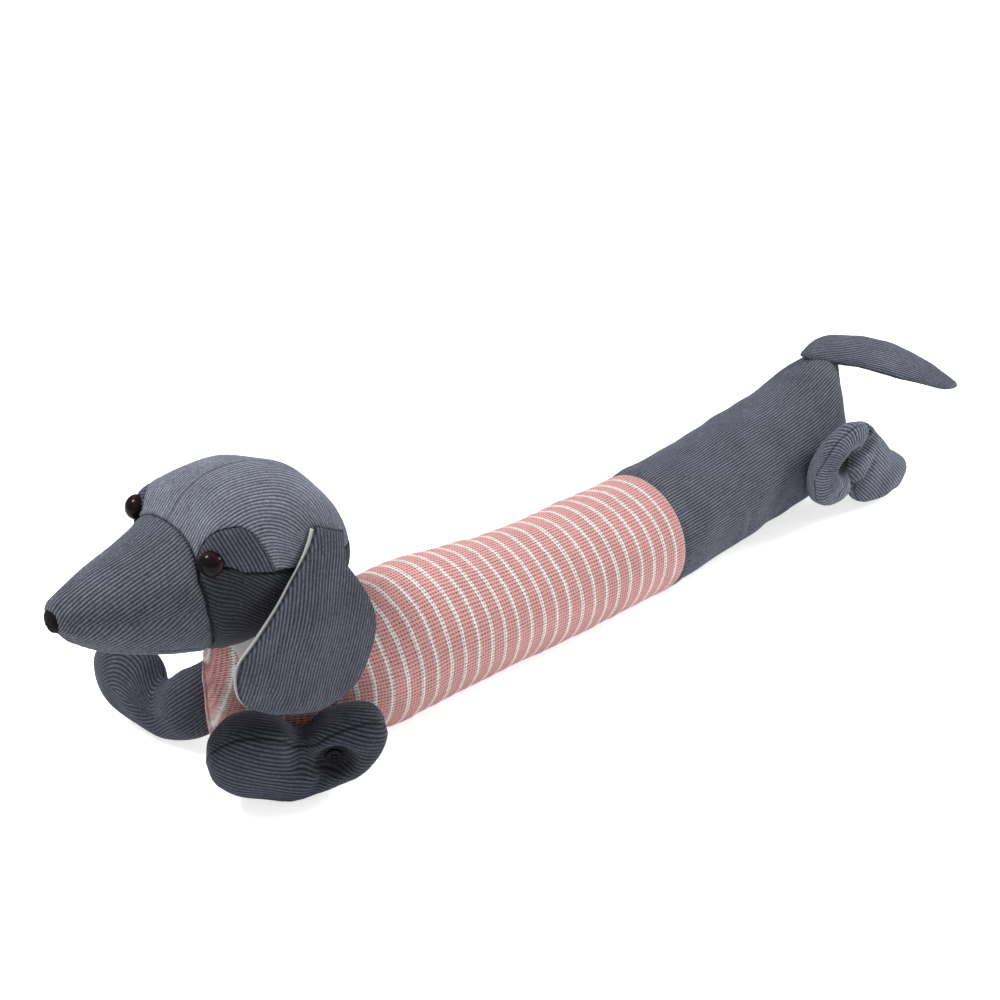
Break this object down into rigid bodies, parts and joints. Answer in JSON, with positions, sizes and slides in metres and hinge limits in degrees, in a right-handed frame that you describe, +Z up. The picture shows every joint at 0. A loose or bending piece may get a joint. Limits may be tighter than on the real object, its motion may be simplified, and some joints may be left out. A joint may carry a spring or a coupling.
{
  "type": "sausage dog draught excluder",
  "caption": "Long filled corduroy dachshund that lies along a door's foot to stop draughts, in a striped knitted jumper, with button-fixed legs, hanging ears and a leaf-shaped tail.",
  "frame": {"origin": "middle of the bounding box at the height of the floor it lies on", "axes": "+X from nose to tail along the body, +Z up, -Y the side that faces the viewer in the picture"},
  "size_m": [0.9531, 0.2511, 0.2444],
  "materials": {
    "corduroy_slate": "ribbed slate-grey corduroy",
    "corduroy_light": "ribbed grey corduroy, worn paler",
    "corduroy_navy": "ribbed dark blue-grey corduroy",
    "knit_stripes": "fine pink knit with narrow white stripes",
    "cloth_pale": "plain pale cotton",
    "felt_black": "black nose pad",
    "eye_gloss": "glossy very dark brown",
    "button_black": "black button"
  },
  "bodies": {
    "root": {"body": "corduroy_slate", "jumper": "knit_stripes", "neck_band": "cloth_pale", "muzzle": "corduroy_slate", "chin_gusset": "corduroy_slate", "crown_near": "corduroy_light", "crown_far": "corduroy_light", "brow_near": "corduroy_navy", "brow_far": "corduroy_navy", "cheek_near": "corduroy_navy", "cheek_far": "corduroy_navy", "nose": "felt_black", "eye_near": "eye_gloss", "eye_far": "eye_gloss", "ear_near": "corduroy_slate", "ear_far": "corduroy_slate", "ear_lining_near": "cloth_pale", "ear_lining_far": "cloth_pale", "front_leg_near": "corduroy_navy", "front_leg_far": "corduroy_slate", "hind_leg_near": "corduroy_slate", "hind_leg_far": "corduroy_slate", "button_front_near": "button_black", "button_front_far": "button_black", "button_hind_near": "button_black", "button_hind_far": "button_black", "tail": "corduroy_slate"}
  },
  "joints": []
}
